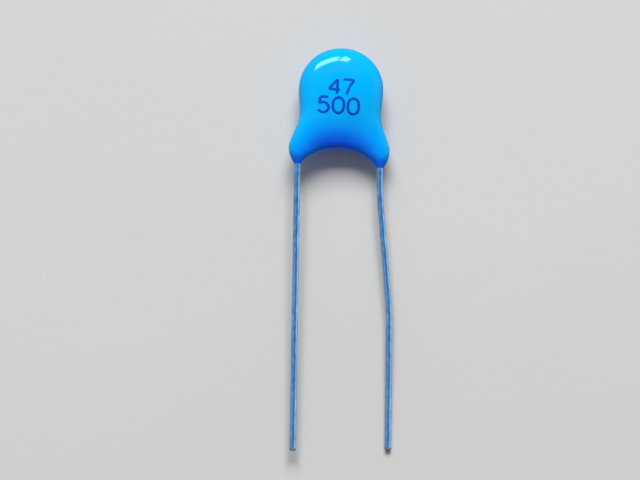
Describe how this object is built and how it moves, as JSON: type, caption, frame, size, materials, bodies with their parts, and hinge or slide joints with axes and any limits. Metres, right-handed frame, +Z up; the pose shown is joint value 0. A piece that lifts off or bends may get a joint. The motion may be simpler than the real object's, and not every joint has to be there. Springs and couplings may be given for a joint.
{
  "type": "ceramic disc capacitor",
  "caption": "Radial ceramic disc capacitor: silvered ceramic disc in a glossy blue dipped epoxy coat, with long tinned wire leads for soldering into a circuit board.",
  "frame": {"origin": "bottom centre of the bounding box, on the surface that the part lies on", "axes": "+Z up, through the thickness of the disc; +Y from the lead tips towards the disc; +X across the two leads"},
  "size_m": [0.01, 0.0376, 0.004],
  "materials": {
    "blue_epoxy": "glossy dipped epoxy",
    "marking_ink": "thin stamped ink",
    "ceramic": "matt fired ceramic",
    "silver_film": "matt fired silver",
    "solder": "satin solder",
    "tinned_wire": "satin tin plating"
  },
  "bodies": {
    "root": {"coating": "blue_epoxy", "ceramic_disc": "ceramic", "front_electrode": "silver_film", "back_electrode": "silver_film", "front_solder": "solder", "back_solder": "solder", "front_lead": "tinned_wire", "back_lead": "tinned_wire"}
  },
  "joints": []
}
